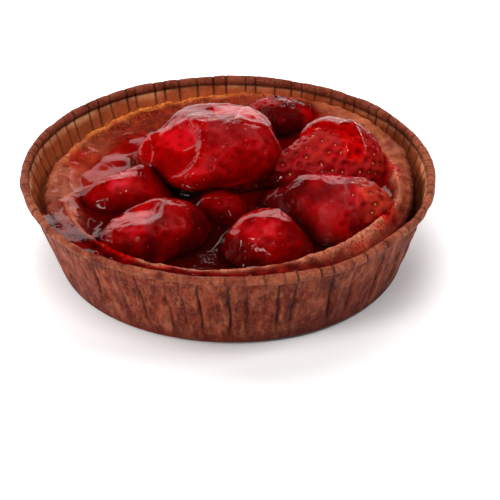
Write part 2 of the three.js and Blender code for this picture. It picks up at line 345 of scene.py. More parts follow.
def smooth_min(a, b, width):
    """The lower of two fields, with the corner between them rounded over this width."""
    h = np.maximum(width - np.abs(a - b), 0) / width
    return np.minimum(a, b) - h * h * width / 4


def smooth_max(a, b, width):
    return -smooth_min(-a, -b, width)


def bell(value, width, power=2):
    """1 at 0, falling off on both sides over this width."""
    return np.exp(-((value / width) ** power))


def facing(degrees, at, spread, power=2):
    """1 in one direction round the tart, falling off on both sides over this many degrees."""
    return bell(wrap(degrees - at), spread, power)


def polar(x, y):
    """The distance from the tart's axis, and the direction in degrees."""
    return np.hypot(x, y), np.degrees(np.arctan2(y, x))


def apart(x, y, z, middle, radius):
    """The square of the distance from a point, with this radius as its unit."""
    return sum((axis - at) ** 2 for axis, at in zip((x, y, z), middle)) / radius**2


def value_noise(x, y, z, scale, seed):
    """Smooth noise from -1 to 1 whose bumps are about this many millimetres apart.

    Every call has a seed of its own, and a script run again gives the same noise."""
    size = 32
    table = np.random.default_rng(seed).uniform(-1, 1, (size, size, size)).astype(np.float32)
    corner, share = [], []
    for axis in (x, y, z):
        scaled = np.asarray(axis, np.float32) / scale
        whole = np.floor(scaled)
        part = scaled - whole
        corner.append(whole.astype(np.int32) % size)
        share.append(part * part * (3 - 2 * part))
    result = 0
    for steps in itertools.product((0, 1), repeat=3):
        cell = table[tuple((whole + step) % size for whole, step in zip(corner, steps))]
        for part, step in zip(share, steps):
            cell = cell * (part if step else 1 - part)
        result = result + cell
    return result


def fractal(x, y, z, scale, seed, octaves=3):
    """Noise with finer noise added, each octave half as large."""
    total = 0
    for octave in range(octaves):
        total = total + value_noise(x, y, z, scale / 2**octave, seed + octave) / 2**octave
    return total


def rim_values(degrees):
    """The columns of RIM at these directions, eased from one row to the next."""
    table = np.array(RIM, float)
    angles = np.append(table[:, 0], 180)
    columns = np.vstack([table[:, 1:], table[:1, 1:]])
    degrees = wrap(degrees)
    index = np.clip(np.searchsorted(angles, degrees, side="right") - 1, 0, len(angles) - 2)
    share = smoothstep(0, 1, (degrees - angles[index]) / (angles[index + 1] - angles[index]))
    return [columns[index, c] * (1 - share) + columns[index + 1, c] * share for c in range(5)]


# ---- meshes -------------------------------------------------------------------------------------


def new_object(name, vertices, faces, material, attributes=None):
    """A smooth mesh object from points in millimetres, face arrays, and values at the points."""
    mesh = bpy.data.meshes.new(name)
    points = (np.asarray(vertices, float) * MM).astype(np.float32)
    mesh.vertices.add(len(points))
    mesh.vertices.foreach_set("co", points.ravel())
    groups = [np.asarray(group, np.int32) for group in faces]
    loops = np.concatenate([group.ravel() for group in groups])
    sizes = np.concatenate([np.full(len(group), group.shape[1]) for group in groups])
    starts = np.concatenate([[0], np.cumsum(sizes)[:-1]]).astype(np.int32)
    mesh.loops.add(len(loops))
    mesh.loops.foreach_set("vertex_index", loops)
    mesh.polygons.add(len(starts))
    mesh.polygons.foreach_set("loop_start", starts)
    mesh.polygons.foreach_set("use_smooth", np.ones(len(starts), bool))
    mesh.update(calc_edges=True)
    mesh.materials.append(material)
    for key, values in (attributes or {}).items():
        attribute = mesh.attributes.new(key, "FLOAT", "POINT")
        attribute.data.foreach_set("value", np.asarray(values, np.float32).ravel())
    thing = bpy.data.objects.new(name, mesh)
    bpy.context.scene.collection.objects.link(thing)
    return thing


def new_piece(name, vertices, faces, material, attributes=None):
    """A mesh object that rides the tart."""
    piece = new_object(name, vertices, faces, material, attributes)
    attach(piece, "root")
    return piece


def ring_quads(rows, columns):
    """Quads of a grid of rings that closes on itself round the axis, after a first single point."""
    ring = np.arange(columns)
    following = (ring + 1) % columns
    starts = 1 + np.arange(rows - 1)[:, None] * columns
    corners = (ring, following, columns + following, columns + ring)
    return np.stack([starts + corner for corner in corners], 2).reshape(-1, 4)


def ring_caps(rows, columns):
    """Triangles from the first ring to the point before it, and from the last to the one after."""
    ring = np.arange(columns)
    following = (ring + 1) % columns
    last = 1 + (rows - 1) * columns
    first_cap = np.stack([np.zeros_like(ring), 1 + following, 1 + ring], 1)
    last_cap = np.stack([np.full_like(ring, last + columns), last + ring, last + following], 1)
    return np.concatenate([first_cap, last_cap])


def ring_piece(name, points, ends, material, attributes, turned=False, first_values=None):
    """A piece from rings of points, closed by a point on the axis at these two heights.

    Its attributes are 0 at the two ends, apart from first_values. Rings that run from the top of a
    piece outwards and down need their faces turned over."""
    rows, columns, _ = points.shape
    vertices = np.concatenate([[[0, 0, ends[0]]], points.reshape(-1, 3), [[0, 0, ends[1]]]])
    values = {}
    for key, value in attributes.items():
        first = (first_values or {}).get(key, 0)
        values[key] = np.concatenate([[first], np.broadcast_to(value, (rows, columns)).ravel(), [0]])
    faces = [ring_quads(rows, columns), ring_caps(rows, columns)]
    if turned:
        faces = [group[:, ::-1] for group in faces]
    return new_piece(name, vertices, faces, material, values)


def grid_normals(points):
    """Unit normals of a grid of rings, shape (rows, columns, 3)."""
    around = np.roll(points, -1, 1) - np.roll(points, 1, 1)
    along = np.gradient(points, axis=0)
    normals = np.cross(around, along)
    return normals / np.maximum(np.linalg.norm(normals, axis=2, keepdims=True), 1e-9)


def mesh_of_field(field, origin, voxel):
    """The zero surface of a field of distances, as points in millimetres and quads facing out."""
    grid = vdb.FloatGrid(float(field.max()))
    grid.copyFromArray(np.ascontiguousarray(field, dtype=np.float32))
    grid.transform = vdb.createLinearTransform(voxelSize=voxel)
    points, quads = grid.convertToQuads(0.0)
    points = points + np.asarray(origin)
    a, b, c = (points[quads[:, i]] for i in range(3))
    if np.einsum("ij,ij->", a, np.cross(b, c)) < 0:
        quads = quads[:, ::-1]
    return points, quads.astype(np.int64)


def vertex_normals(points, quads):
    a, b, c, d = (points[quads[:, i]] for i in range(4))
    face = np.cross(c - a, d - b)
    total = np.zeros_like(points)
    for i in range(4):
        np.add.at(total, quads[:, i], face)
    return total / np.maximum(np.linalg.norm(total, axis=1, keepdims=True), 1e-9)


def grid_axes(low, high, voxel):
    return [low[i] + voxel * np.arange(int((high[i] - low[i]) / voxel) + 2) for i in range(3)]


def part_of_grid(low, axes, lowest, highest):
    """The slices of the glaze's grid between two corners, and the x, y and z of its points there."""
    window = []
    for i in range(3):
        start = max(int((lowest[i] - low[i]) / GLAZE_VOXEL), 0)
        stop = min(int((highest[i] - low[i]) / GLAZE_VOXEL) + 2, len(axes[i]))
        window.append(slice(start, stop))
    return tuple(window), np.meshgrid(*(axis[part] for axis, part in zip(axes, window)), indexing="ij")


# ---- materials ----------------------------------------------------------------------------------


def srgb(red, green, blue):
    """A colour given as 0 to 255 on screen, as Blender's linear numbers."""
    def linear(value):
        value = value / 255
        return value / 12.92 if value <= 0.04045 else ((value + 0.055) / 1.055) ** 2.4
    return (linear(red), linear(green), linear(blue), 1)


class Nodes:
    """A node tree, with short calls for the few kinds of node used here."""

    def __init__(self, tree):
        self.tree = tree
        tree.nodes.clear()

    def put(self, socket, value):
        """Links or sets a socket. A colour of three numbers is one on screen, from 0 to 255."""
        if hasattr(value, "is_output"):
            self.tree.links.new(value, socket)
        elif socket.type == "RGBA" and len(value) == 3:
            socket.default_value = srgb(*value)
        else:
            socket.default_value = value

    def add(self, kind, inputs=None, **settings):
        node = self.tree.nodes.new("ShaderNode" + kind)
        for key, value in settings.items():
            setattr(node, key, value)
        for key, value in (inputs or {}).items():
            self.put(node.inputs[key], value)
        return node

    def math(self, operation, *values):
        return self.add("Math", dict(enumerate(values)), operation=operation).outputs[0]

    def spread(self, value, low, high, to_low=0, to_high=1, kind="LINEAR"):
        """A value brought from one range to another, and kept inside it."""
        inputs = {"Value": value, "From Min": low, "From Max": high, "To Min": to_low, "To Max": to_high}
        return self.add("MapRange", inputs, interpolation_type=kind).outputs["Result"]


class Shader(Nodes):
    """A material with one Principled surface."""

    def __init__(self, name):
        self.material = bpy.data.materials.new(name)
        self.material.use_nodes = True
        super().__init__(self.material.node_tree)
        self.surface = self.add("BsdfPrincipled")
        self.output = self.add("OutputMaterial", {"Surface": self.surface.outputs["BSDF"]})
        self.place = self.add("TexCoord").outputs["Object"]

    def set(self, **values):
        for key, value in values.items():
            self.put(self.surface.inputs[key.replace("_", " ")], value)

    def noise(self, per_mm, detail=3, rough=0.5, stretch=(1, 1, 1), distortion=0):
        """Noise with this many bumps to the millimetre."""
        scale = [per_mm / MM * share for share in stretch]
        mapping = self.add("Mapping", {"Vector": self.place, "Scale": scale})
        inputs = {"Vector": mapping.outputs["Vector"], "Scale": 1, "Detail": detail, "Roughness": rough,
                  "Distortion": distortion}
        return self.add("TexNoise", inputs).outputs["Fac"]

    def attribute(self, name):
        return self.add("Attribute", attribute_name=name).outputs["Fac"]

    def mix(self, share, a, b):
        return self.add("Mix", {"Factor": share, 6: a, 7: b}, data_type="RGBA").outputs[2]

    def tones(self, value, low, high, dark, light):
        """Two colours, with a noise spread between them."""
        return self.mix(self.spread(value, low, high), dark, light)

    def paint(self, color, *strokes):
        """Strokes laid over a colour: a noise, where it starts and is full, how strong, a colour."""
        for value, start, full, most, tone in strokes:
            color = self.mix(self.spread(value, start, full, 0, most), color, tone)
        return color

    def cover(self, color, **layers):
        """Colours laid over another where the attributes of the same names say so, in this order."""
        for name, tone in layers.items():
            color = self.mix(self.attribute(name), color, tone)
        return color

    def total(self, *parts):
        """The sum of values, each given as (value, weight)."""
        heights = [self.math("MULTIPLY", value, weight) for value, weight in parts]
        height = heights[0]
        for more in heights[1:]:
            height = self.math("ADD", height, more)
        return height

    def bump(self, height, strength, distance_mm):
        inputs = {"Strength": strength, "Distance": distance_mm * MM, "Height": height}
        self.set(Normal=self.add("Bump", inputs).outputs["Normal"])


def paper_material():
    s = Shader("brown_paper")
    patches = s.noise(0.16, detail=6, rough=0.68)
    streaks = s.noise(0.5, detail=5, rough=0.65, stretch=(1, 1, 0.28))
    fibres = s.noise(1.1, detail=5, rough=0.75)
    specks = s.noise(2.6, rough=0.6)
    folds = s.noise(0.34, rough=0.55, stretch=(1, 1, 0.2))
    outer = s.paint(
        s.tones(patches, 0.36, 0.62, (88, 26, 14), (130, 48, 28)),
        (streaks, 0.5, 0.68, 0.75, (172, 96, 66)),
        (streaks, 0.46, 0.3, 0.7, (58, 16, 11)),
        (fibres, 0.52, 0.66, 0.5, (160, 92, 64)),
        (fibres, 0.48, 0.34, 0.6, (62, 18, 12)),
        # The folds strokes are painted shade in the hollows of the soft vertical folds and a painted
        # highlight on their ridges.
        (folds, 0.47, 0.33, 0.5, (58, 16, 11)),
        (folds, 0.53, 0.67, 0.4, (176, 98, 68)),
    )
    inner = s.paint(
        s.tones(patches, 0.36, 0.62, (255, 158, 110), (255, 184, 132)),
        (fibres, 0.5, 0.34, 0.45, (166, 80, 48)),
    )
    roll = s.paint(
        s.tones(patches, 0.36, 0.62, (108, 46, 30), (150, 78, 54)),
        (fibres, 0.52, 0.68, 0.45, (202, 132, 102)),
        (fibres, 0.48, 0.34, 0.5, (86, 34, 22)),
    )
    # The last of these marks darkens the paper where jelly ran over the roll; it also holds painted shade on
    # the back half of the roll and darkens the foot of the outer wall.
    color = s.cover(outer, inside=inner, roll=roll, oil=(150, 54, 14), damp=(84, 22, 14))
    # Painted shade: in the gap between crust and paper inside, and dark lines in the creases, along the seams
    # and slits and under the roll.
    color = s.cover(color, shade=(44, 8, 4), crease=(32, 9, 6))
    s.set(Base_Color=color, Roughness=0.58, Specular_IOR_Level=0.09)
    s.bump(s.total((streaks, 0.9), (fibres, 0.5), (specks, 0.12), (folds, 1.6)), 0.85, 0.9)
    return s.material


def crust_material():
    s = Shader("baked_crust")
    grain = s.noise(1.3, detail=4, rough=0.62)
    blotch = s.noise(0.24, detail=4, rough=0.6)
    spots = s.noise(0.5, rough=0.6, distortion=0.8)
    golden = s.paint(
        s.tones(blotch, 0.35, 0.65, (168, 62, 14), (208, 106, 28)),
        (grain, 0.45, 0.68, 1, (238, 152, 62)),
    )
    toast = s.paint(
        s.tones(spots, 0.36, 0.62, (72, 7, 2), (126, 30, 8)),
        (grain, 0.5, 0.32, 0.6, (60, 10, 5)),
    )
    color = s.cover(s.tones(blotch, 0.35, 0.65, (124, 48, 28), (162, 84, 52)), golden=golden)
    color = s.paint(color, (grain, 0.5, 0.3, 0.45, (104, 32, 14)))
    color = s.cover(
        color,
        toast=toast,
        soaked=s.tones(blotch, 0.35, 0.65, (120, 50, 34), (166, 96, 74)),
        stained=s.tones(blotch, 0.42, 0.66, (64, 4, 3), (112, 22, 11)),
        # Painted shade: nearly black where the crust meets the paper at the front right.
        gap=(44, 5, 3),
        ridge=s.tones(grain, 0.4, 0.6, (140, 62, 46), (196, 122, 92)),
        # Under the pool the soaked crust is red-brown, darkened towards almost black as painted shade in the
        # middle, at the front and round the back berry.
        deep=s.mix(s.attribute("gloom"), (140, 40, 24), (58, 2, 3)),
    )
    s.set(Base_Color=color, Roughness=0.5, Specular_IOR_Level=0.08)
    s.bump(grain, 0.5, 0.35)
    return s.material


def berry_material():
    s = Shader("strawberry_skin")
    broad = s.noise(0.11, distortion=0.5)
    fine = s.noise(0.7, detail=4, rough=0.6)
    color = s.paint(
        s.tones(broad, 0.35, 0.65, (122, 2, 9), (160, 6, 15)),
        (fine, 0.5, 0.72, 0.4, (176, 9, 14)),
        (fine, 0.46, 0.3, 0.5, (92, 1, 4)),
    )
    # Of the marks laid on here, the first adds painted highlights to paler flesh, the second is a painted
    # pink reflection, the third adds painted shade to the berries' own darker tones, and the last is painted
    # shade in the dimples round the seeds.
    color = s.cover(color, pale=(218, 62, 40), frost=(204, 44, 68), dark=(56, 0, 2), dimple=(84, 2, 4))
    s.set(Base_Color=color, Roughness=0.2, Specular_IOR_Level=0.22)
    s.bump(fine, 0.6, 0.35)
    return s.material


def seed_material():
    s = Shader("strawberry_seed")
    tone = s.noise(0.5, detail=1)
    red = s.tones(tone, 0.35, 0.65, (96, 14, 8), (170, 60, 26))
    golden = s.tones(tone, 0.4, 0.6, (150, 56, 20), (216, 142, 56))
    s.set(Base_Color=s.cover(red, golden=golden), Roughness=0.4)
    return s.material


def crumb_material():
    s = Shader("crumb")
    s.set(Base_Color=s.tones(s.noise(0.6), 0.35, 0.65, (128, 48, 18), (188, 98, 38)), Roughness=0.75)
    return s.material


def glaze_material():
    """Clear dark red jelly: a glass that takes up green and blue, and lets light through to what
    lies in it."""
    s = Shader("red_glaze")
    s.set(Base_Color=(1, 1, 1, 1), Roughness=0.01, IOR=JELLY["ior"], Transmission_Weight=1)
    clear = s.add("BsdfTransparent", {"Color": JELLY["shadow"]})
    shadow = s.add("LightPath").outputs["Is Shadow Ray"]
    blend = s.add("MixShader", {"Fac": shadow, 1: s.surface.outputs["BSDF"], 2: clear.outputs["BSDF"]})
    depth = s.add("VolumeAbsorption", {"Color": JELLY["color"], "Density": JELLY["density"]})
    s.put(s.output.inputs["Surface"], blend.outputs["Shader"])
    s.put(s.output.inputs["Volume"], depth.outputs["Volume"])

    broad = s.noise(0.13, detail=2, rough=0.45, distortion=1.2)
    narrow = s.noise(0.3, detail=2, distortion=0.8)
    waves = s.total(
        (s.spread(broad, 0.47, 0.53), 1), (s.spread(broad, 0.58, 0.63), 0.7),
        (s.spread(narrow, 0.5, 0.6), 0.5), (narrow, 0.4),
    )
    folds = s.math("ABSOLUTE", s.math("SUBTRACT", s.noise(0.45, detail=2, distortion=0.6), 0.5))
    folds = s.math("MULTIPLY", folds, 30)
    height = s.total((waves, s.attribute("wavy")), (folds, s.attribute("crinkle")))
    s.bump(height, 0.45, 0.22)
    return s.material


# ---- paper case ---------------------------------------------------------------------------------

BASE, OUTER, ROLL, INNER = range(4)  # the kinds of place on the case


def case_bulge(degrees):
    return sum(size * facing(degrees, at, spread) for at, spread, size in CASE_BULGES)


def case_dip(degrees, height):
    front = np.maximum(0, -np.sin(np.radians(degrees)))
    return CASE["front_dip"] * front**2 * (height / CASE["height"]) ** 2


def wall_radius(degrees, height):
    """The radius of the outside of the mean paper wall."""
    climb = (height - CASE["corner_height"]) / (CASE["wall_top_height"] - CASE["corner_height"])
    straight = CASE["corner_radius"] + climb * (CASE["wall_top_radius"] - CASE["corner_radius"])
    turn = np.radians(degrees)
    shift_x, shift_y = CASE["base_shift"]
    shift = (shift_x * np.cos(turn) + shift_y * np.sin(turn)) * (1 - height / CASE["height"])
    return straight + case_bulge(degrees) * height / CASE["height"] + shift


def case_profile():
    """Points (radius, height, kind) from the middle of the base out, up, over the roll and back
    inside."""
    foot, paper = CASE["foot_radius"], CASE["paper"]
    corner, low = CASE["corner_radius"], CASE["corner_height"]
    top, high = CASE["wall_top_radius"], CASE["wall_top_height"]
    corner_rows, outer_rows, roll_rows, inner_rows = 5, 40, 26, 34
    roll_from, roll_turn = -100, 335
    rows = [(radius, 0, BASE) for radius in (14, 28, 38, 42.5, foot)]
    for step in range(1, corner_rows):
        turn = math.radians(90 * step / corner_rows)
        rows.append((foot + (corner - foot) * math.sin(turn), low * (1 - math.cos(turn)), OUTER))
    for share in np.linspace(0, 1, outer_rows + 1):
        rows.append((corner + share * (top - corner), low + share * (high - low), OUTER))
    for step in range(roll_rows + 1):
        turn = math.radians(roll_from + roll_turn * step / roll_rows)
        rows.append((
            CASE["roll_radius"] + CASE["roll_half_width"] * math.cos(turn),
            CASE["roll_height"] + CASE["roll_half_height"] * math.sin(turn),
            ROLL,
        ))
    for share in np.linspace(1, 0, inner_rows + 1):
        rows.append((corner + share * (top - corner) - paper, low + share * (high - low), INNER))
    return np.array(rows + [(radius, paper, BASE) for radius in (foot - 0.5, 38, 20)], float)


def pleat_folds():
    """The directions of the folds between the pleats, and how strong each is."""
    rng = np.random.default_rng(41)
    count = CASE["pleats"]
    at = (np.arange(count) + rng.uniform(-0.22, 0.22, count)) * 360 / count - 180
    return at, rng.uniform(0.35, 1.0, count)


def groove(degrees, at, strength, width_mm, radius=PLEAT_RADIUS):
    """How deep a point lies in the nearest fold, from 0 to that fold's strength."""
    order = np.argsort(at)
    at, strength = at[order], strength[order]
    spaced = np.concatenate([[at[-1] - 360], at, [at[0] + 360]])
    strong = np.concatenate([[strength[-1]], strength, [strength[0]]])
    index = np.clip(np.searchsorted(spaced, degrees) - 1, 0, len(spaced) - 2)
    near = np.where(degrees - spaced[index] < spaced[index + 1] - degrees, index, index + 1)
    distance = np.radians(np.abs(degrees - spaced[near])) * radius
    return strong[near] * bell(distance, width_mm)


def case_slits(x, y, z, degrees, height):
    """How far the deep folds go into the wall, and where a dark line of painted shade is drawn along each."""
    cut = line = 0
    for at, depth, top, lean in CASE_SLITS:
        middle = at + lean * (1 - height / CASE["height"])
        distance = np.radians(wrap(degrees - middle)) * PLEAT_RADIUS + 0.5 * value_noise(x, y, z, 4.0, 33)
        foot = smoothstep(1.5, 9, height)
        fade = foot * (1 - smoothstep(top - 1, top + 1.5, height))
        fade = fade * (1 - 0.85 * smoothstep(16.5, 18.5, height))
        for offset, share, width in SLIT_SHAPE:
            cut = cut + share * depth * bell(distance - offset, width) * fade
        line = line + depth * bell(distance, 0.32) * foot * (1 - smoothstep(top, top + 1.5, height))
    return cut, line


def paper_case():
    profile = case_profile()
    columns = CASE["pleats"] * CASE["points_per_pleat"]
    degrees = (np.arange(columns) * 360 / columns - 180)[None, :]
    radius, height, kind = (profile[:, i][:, None] for i in range(3))
    turn = np.radians(degrees)
    front = smoothstep(0.2, 0.9, -np.sin(turn))
    left_front = facing(degrees, *LEFT_FRONT)
    grown = radius + case_bulge(degrees) * height / CASE["height"] * (radius > 30)
    shift_x, shift_y = CASE["base_shift"]
    x = grown * np.cos(turn) + shift_x * (1 - height / CASE["height"])
    y = grown * np.sin(turn) + shift_y * (1 - height / CASE["height"])
    z = height - case_dip(degrees, height)

    at, strength = pleat_folds()
    everywhere = degrees + 0 * height
    on_wall = ((kind == OUTER) | (kind == INNER)) * smoothstep(0.5, 6, height)
    on_roll = kind == ROLL
    pleat = 0.3 * groove(everywhere, at, strength, 0.42) * (1 - 0.4 * front) * smoothstep(3, 12, height)
    crumple = fractal(x, y, z * 0.45, 6.5, 7) * 0.34 + fractal(x, y, z * 0.3, 2.6, 17) * 0.26
    slit, slit_line = case_slits(x, y, z, degrees, height)
    seam = (0.3 - 0.2 * left_front) * on_roll * groove(everywhere, at, strength, 0.26, SEAM_RADIUS)
    swell = on_roll * fractal(x, y, z, 7.0, 27) * 0.28
    points = np.stack([x, y, z], 2)
    normals = grid_normals(points)
    outward = np.stack(np.broadcast_arrays(np.cos(turn), np.sin(turn), 0 * z), 2)
    points = points + outward * (on_wall * (pleat + crumple - slit))[..., None]
    points = points + normals * (swell - seam)[..., None]
    points[..., 2] = np.clip(points[..., 2], 0, CASE["height"])

    noise = fractal(points[..., 0], points[..., 1], points[..., 2], 5.0, 57)
    inside = (kind == INNER) * 1.0
    top = CASE["wall_top_height"]
    # Painted shade just under the roll, inside and outside.
    under_roll = (bell(height - top, 0.45) + 0.35 * bell(height - top, 1.6)) * inside
    under_roll = under_roll + 0.6 * bell(height - top + 0.5, 0.4) * (kind == OUTER)
    # Dark lines painted as shade in the folds of the pleats, inside and out.
    line_in = groove(everywhere, at, 0.5 + 0.5 * strength, 0.28) * inside
    line_out = groove(everywhere, at, strength, 0.24) * smoothstep(3, 9, height) * (1 - 0.85 * front)
    crease = line_in + 0.75 * under_roll + (0.55 * line_out + 1.5 * slit_line) * (kind == OUTER)
    crust_edge = rim_values(degrees)[1]
    low = 1 - smoothstep(-0.5, 2.8, height - crust_edge + noise)
    gap = facing(degrees, -34, 42, 4) + 0.3 * facing(degrees, 178, 40, 4)
    damp = left_front * on_roll * smoothstep(-0.1, 0.5, noise) * 0.8
    # Painted shade: the back half of the roll is darkened.
    damp = damp + 0.45 * on_roll * smoothstep(0.1, 0.8, np.sin(turn))
    # The outer wall is darker towards its foot.
    damp = damp + (kind == OUTER) * (1 - smoothstep(1, 8, height + 3 * noise)) * 0.55
    piece = ring_piece("case_pleated", points, (0, CASE["paper"]), paper_material(), {
        "crease": np.clip(crease + 1.1 * seam / 0.26, 0, 1),
        "oil": np.clip(low * inside * 0.9, 0, 1),
        "inside": inside,
        "roll": on_roll * 1.0,
        "damp": np.clip(damp, 0, 1),
        "shade": 0.9 * np.clip(gap * low * inside, 0, 1),
    })
    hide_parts("paper_case")


# ---- crust --------------------------------------------------------------------------------------


def crust_top(x, y):
    """Height of the top of the crust, without its crumb, out to the outer edge."""
    radius, degrees = polar(x, y)
    edge, edge_top, crest, crest_top, trough = rim_values(degrees)
    wobble = fractal(x, y, 0 * x, 7.0, 61, 2)
    crest = crest + 0.9 * wobble
    floor_radius, floor_height = CRUST["floor_radius"], CRUST["floor_height"]
    climb = np.clip((radius - floor_radius) / (crest - floor_radius), 0, 1)
    front = smoothstep(-160, -140, degrees) * (1 - smoothstep(25, 45, degrees))
    eased_climb = (1 - (1 - climb) ** 1.7) * (1 - front) + climb**3.0 * front
    inner = floor_height + (crest_top - floor_height) * eased_climb
    across = np.clip((radius - crest) / (edge - CRUST["edge_round"] - crest), 0, 1)
    ragged = radius + 2.5 * value_noise(x, y, 0 * x, 8.0, 65)
    shelf_share = facing(degrees, SHELF["at"], SHELF["spread"], 4)
    shelf_share = shelf_share * smoothstep(SHELF["from"] - 8, SHELF["from"], ragged)
    inner = inner + np.maximum(SHELF["height"] + 0.35 * wobble - inner, 0) * shelf_share
    eased = smoothstep(0, 1, across)
    outer = crest_top * (1 - eased) + edge_top * eased - trough * np.sin(np.pi * across) ** 2
    height = np.where(radius < crest, inner, outer)
    return height + 0.35 * wobble * smoothstep(floor_radius, crest, radius)


def crust_rings():
    """The crust without its crumb, as rings from the middle out, over the edge and down."""
    turn = np.radians(np.arange(CRUST_COLUMNS) * 360 / CRUST_COLUMNS - 180)
    edge, _, crest, _, _ = rim_values(np.degrees(turn))
    edge = edge + 0.45 * fractal(50 * np.cos(turn), 50 * np.sin(turn), 0 * turn, 6.0, 71)
    floor_radius, bottom = CRUST["floor_radius"], CRUST["bottom"]
    flat_edge = edge - CRUST["edge_round"]
    rim_top = crust_top(flat_edge * np.cos(turn), flat_edge * np.sin(turn))
    wall_top = rim_top - CRUST["edge_drop"]
    foot = CRUST["foot_radius"] + 2

    def shares(name):
        return np.arange(1, CRUST_ROWS[name] + 1) / CRUST_ROWS[name]

    rings = [(radius, None) for radius in (12, 24, 32, 36, floor_radius)]
    rings += [(floor_radius + (crest - floor_radius) * share, None) for share in shares("shore")]
    rings += [(crest + (flat_edge - crest) * share, None) for share in shares("flat")]
    for bend in np.radians(90 * shares("edge")):
        rings.append((flat_edge + CRUST["edge_round"] * math.sin(bend),
                      rim_top - CRUST["edge_drop"] * (1 - math.cos(bend))))
    for share in shares("wall"):
        rings.append((edge + (foot - edge) * share, wall_top + (bottom + 2 - wall_top) * share))
    rings += [(CRUST["foot_radius"], bottom), (20, bottom)]
    points = np.zeros((len(rings), CRUST_COLUMNS, 3))
    for row, (radius, height) in enumerate(rings):
        points[row, :, 0] = radius * np.cos(turn)
        points[row, :, 1] = radius * np.sin(turn)
        points[row, :, 2] = crust_top(*points[row, :, :2].T) if height is None else height
    return points


def crust_marks(x, y, z, bare, right, on_rim):
    """How the crust is coloured: one value from 0 to 1 at each point for each kind of mark."""
    radius, degrees = polar(x, y)
    edge, _, crest, crest_top, _ = rim_values(degrees)
    depth = crest_top - z
    patchy = fractal(x, y, z, 4.0, 101)
    toast = smoothstep(1.2, -1.6, radius - crest) * smoothstep(0.3, 2.5, depth + 0.8 * patchy) * 0.8
    slope = smoothstep(1.2, 3.2, edge - radius + 1.3 * patchy) * np.clip(1.3 * bare, 0, 1)
    toast = np.clip(np.maximum(toast, 0.95 * slope), 0, 1)
    side = smoothstep(0.5, -1.5, z - 20) * (radius > 45)
    front = facing(degrees, -86, 84, 6)
    outward = (radius - crest) / np.maximum(edge - crest, 1)
    stained = front * smoothstep(0.02, 0.25, outward + 0.3 * patchy + 0.25 * (degrees < -68))
    inner_stain = front * smoothstep(0.2, 1.4, crest - radius + 0.8 * patchy)
    inner_stain = inner_stain * (degrees < -62) * (radius > 38)
    # Painted shade in the gap between the crust's outer edge and the paper, front right.
    gap = facing(degrees, -30, 62, 4) * smoothstep(0.55, 0.95, outward + 0.1 * patchy)
    soaked = np.clip(1 - bare - 0.6 * right - 0.3 + 0.45 * patchy, 0, 1)
    soaked = np.maximum(soaked, 0.8 * right) * (1 - side) * on_rim
    outermost = smoothstep(-4.0, -0.5, radius - edge + 0.8 * patchy) * (1 - side)
    # Painted shade on the floor of the pool: towards the front, in the middle, and round the back berry.
    gloom = np.maximum(smoothstep(8, -12, y + 4 * patchy), smoothstep(38, 28, radius + 2 * patchy))
    ridge = front * bell(radius - crest - 0.5 * patchy, 0.7 + 0.9 * facing(degrees, -36, 22))
    pit = bell(((x - 14) / 15) ** 2 + ((y - 41) / 9) ** 2, 1) * (z > 14)
    return {
        "golden": np.clip(bare * (0.15 + 0.85 * outermost) + 0.5 * right * (patchy > 0.1), 0, 1),
        "toast": np.clip(toast + 0.4 * side, 0, 1),
        "stained": np.clip(np.maximum(stained, inner_stain) * (1 - ridge), 0, 1),
        "gap": np.clip(gap, 0, 1),
        "soaked": 0.8 * np.clip(soaked, 0, 1),
        "deep": np.maximum(smoothstep(1.0, 3.2, depth) * (radius < crest), pit),
        "gloom": np.maximum(gloom, pit),
        "ridge": ridge,
    }


def crust():
    points = crust_rings()
    x, y, z = np.moveaxis(points, 2, 0)
    radius, degrees = polar(x, y)
    bare, right = facing(degrees, *BARE_RIM), facing(degrees, *RIGHT_RIM)
    on_rim = smoothstep(41, 46, radius)
    marks = crust_marks(x, y, z, bare, right, on_rim)

    # The rings run outwards and down, so that their normals face in.
    size = on_rim * (0.15 + 0.17 * np.maximum(bare, 0.7 * right))
    swell = size * fractal(x, y, z, 1.5, 81, 3) + 0.28 * on_rim * fractal(x, y, z, 3.6, 91, 2)
    points = points - grid_normals(points) * swell[..., None]

    # It stays inside the paper, which leans outwards.
    room = wall_radius(degrees, points[..., 2]) - CASE["paper"] - 0.25
    reach = np.hypot(points[..., 0], points[..., 1])
    points[..., :2] *= np.minimum(1, room / np.maximum(reach, 1))[..., None]
    ends = (CRUST["floor_height"], CRUST["bottom"])
    middle = {"deep": 1}
    piece = ring_piece("crust_baked", points, ends, crust_material(), marks, turned=True, first_values=middle)
    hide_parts("crust")


# ---- strawberries -------------------------------------------------------------------------------


def lobe_field(x, y, z, lobe):
    """About the distance from one lobe's surface, in millimetres, less than 0 inside."""
    middle_x, middle_y, cut, half, width, rise, turn, taper, fill, hang = lobe
    turn = math.radians(turn)
    dx, dy, above = x - middle_x, y - middle_y, z - cut
    along = (dx * math.cos(turn) + dy * math.sin(turn)) / half
    across = -dx * math.sin(turn) + dy * math.cos(turn)
    narrowing = taper * np.clip(along, -1.3, 1.3)
    wide = width * (1 - narrowing)
    high = np.where(above > 0, rise, hang) * (1 - 0.5 * narrowing)
    sizes = (half, wide, high)
    shares = (np.abs(along), np.abs(across / wide), np.abs(above / high))
    reach = np.maximum(sum(share**fill for share in shares) ** (1 / fill), 1e-3)
    slope = sum((share ** (fill - 1) / size) ** 2 for share, size in zip(shares, sizes)) ** 0.5
    body = (reach - 1) / np.maximum(slope * reach ** (1 - fill), 1 / 25)
    footprint = (shares[0] ** fill + shares[1] ** fill) ** (1 / fill)
    body = np.maximum(body, 0.85 * (footprint - 1) * np.minimum(half, wide))
    return smooth_max(body, -above - 0.6 * hang, 0.5)


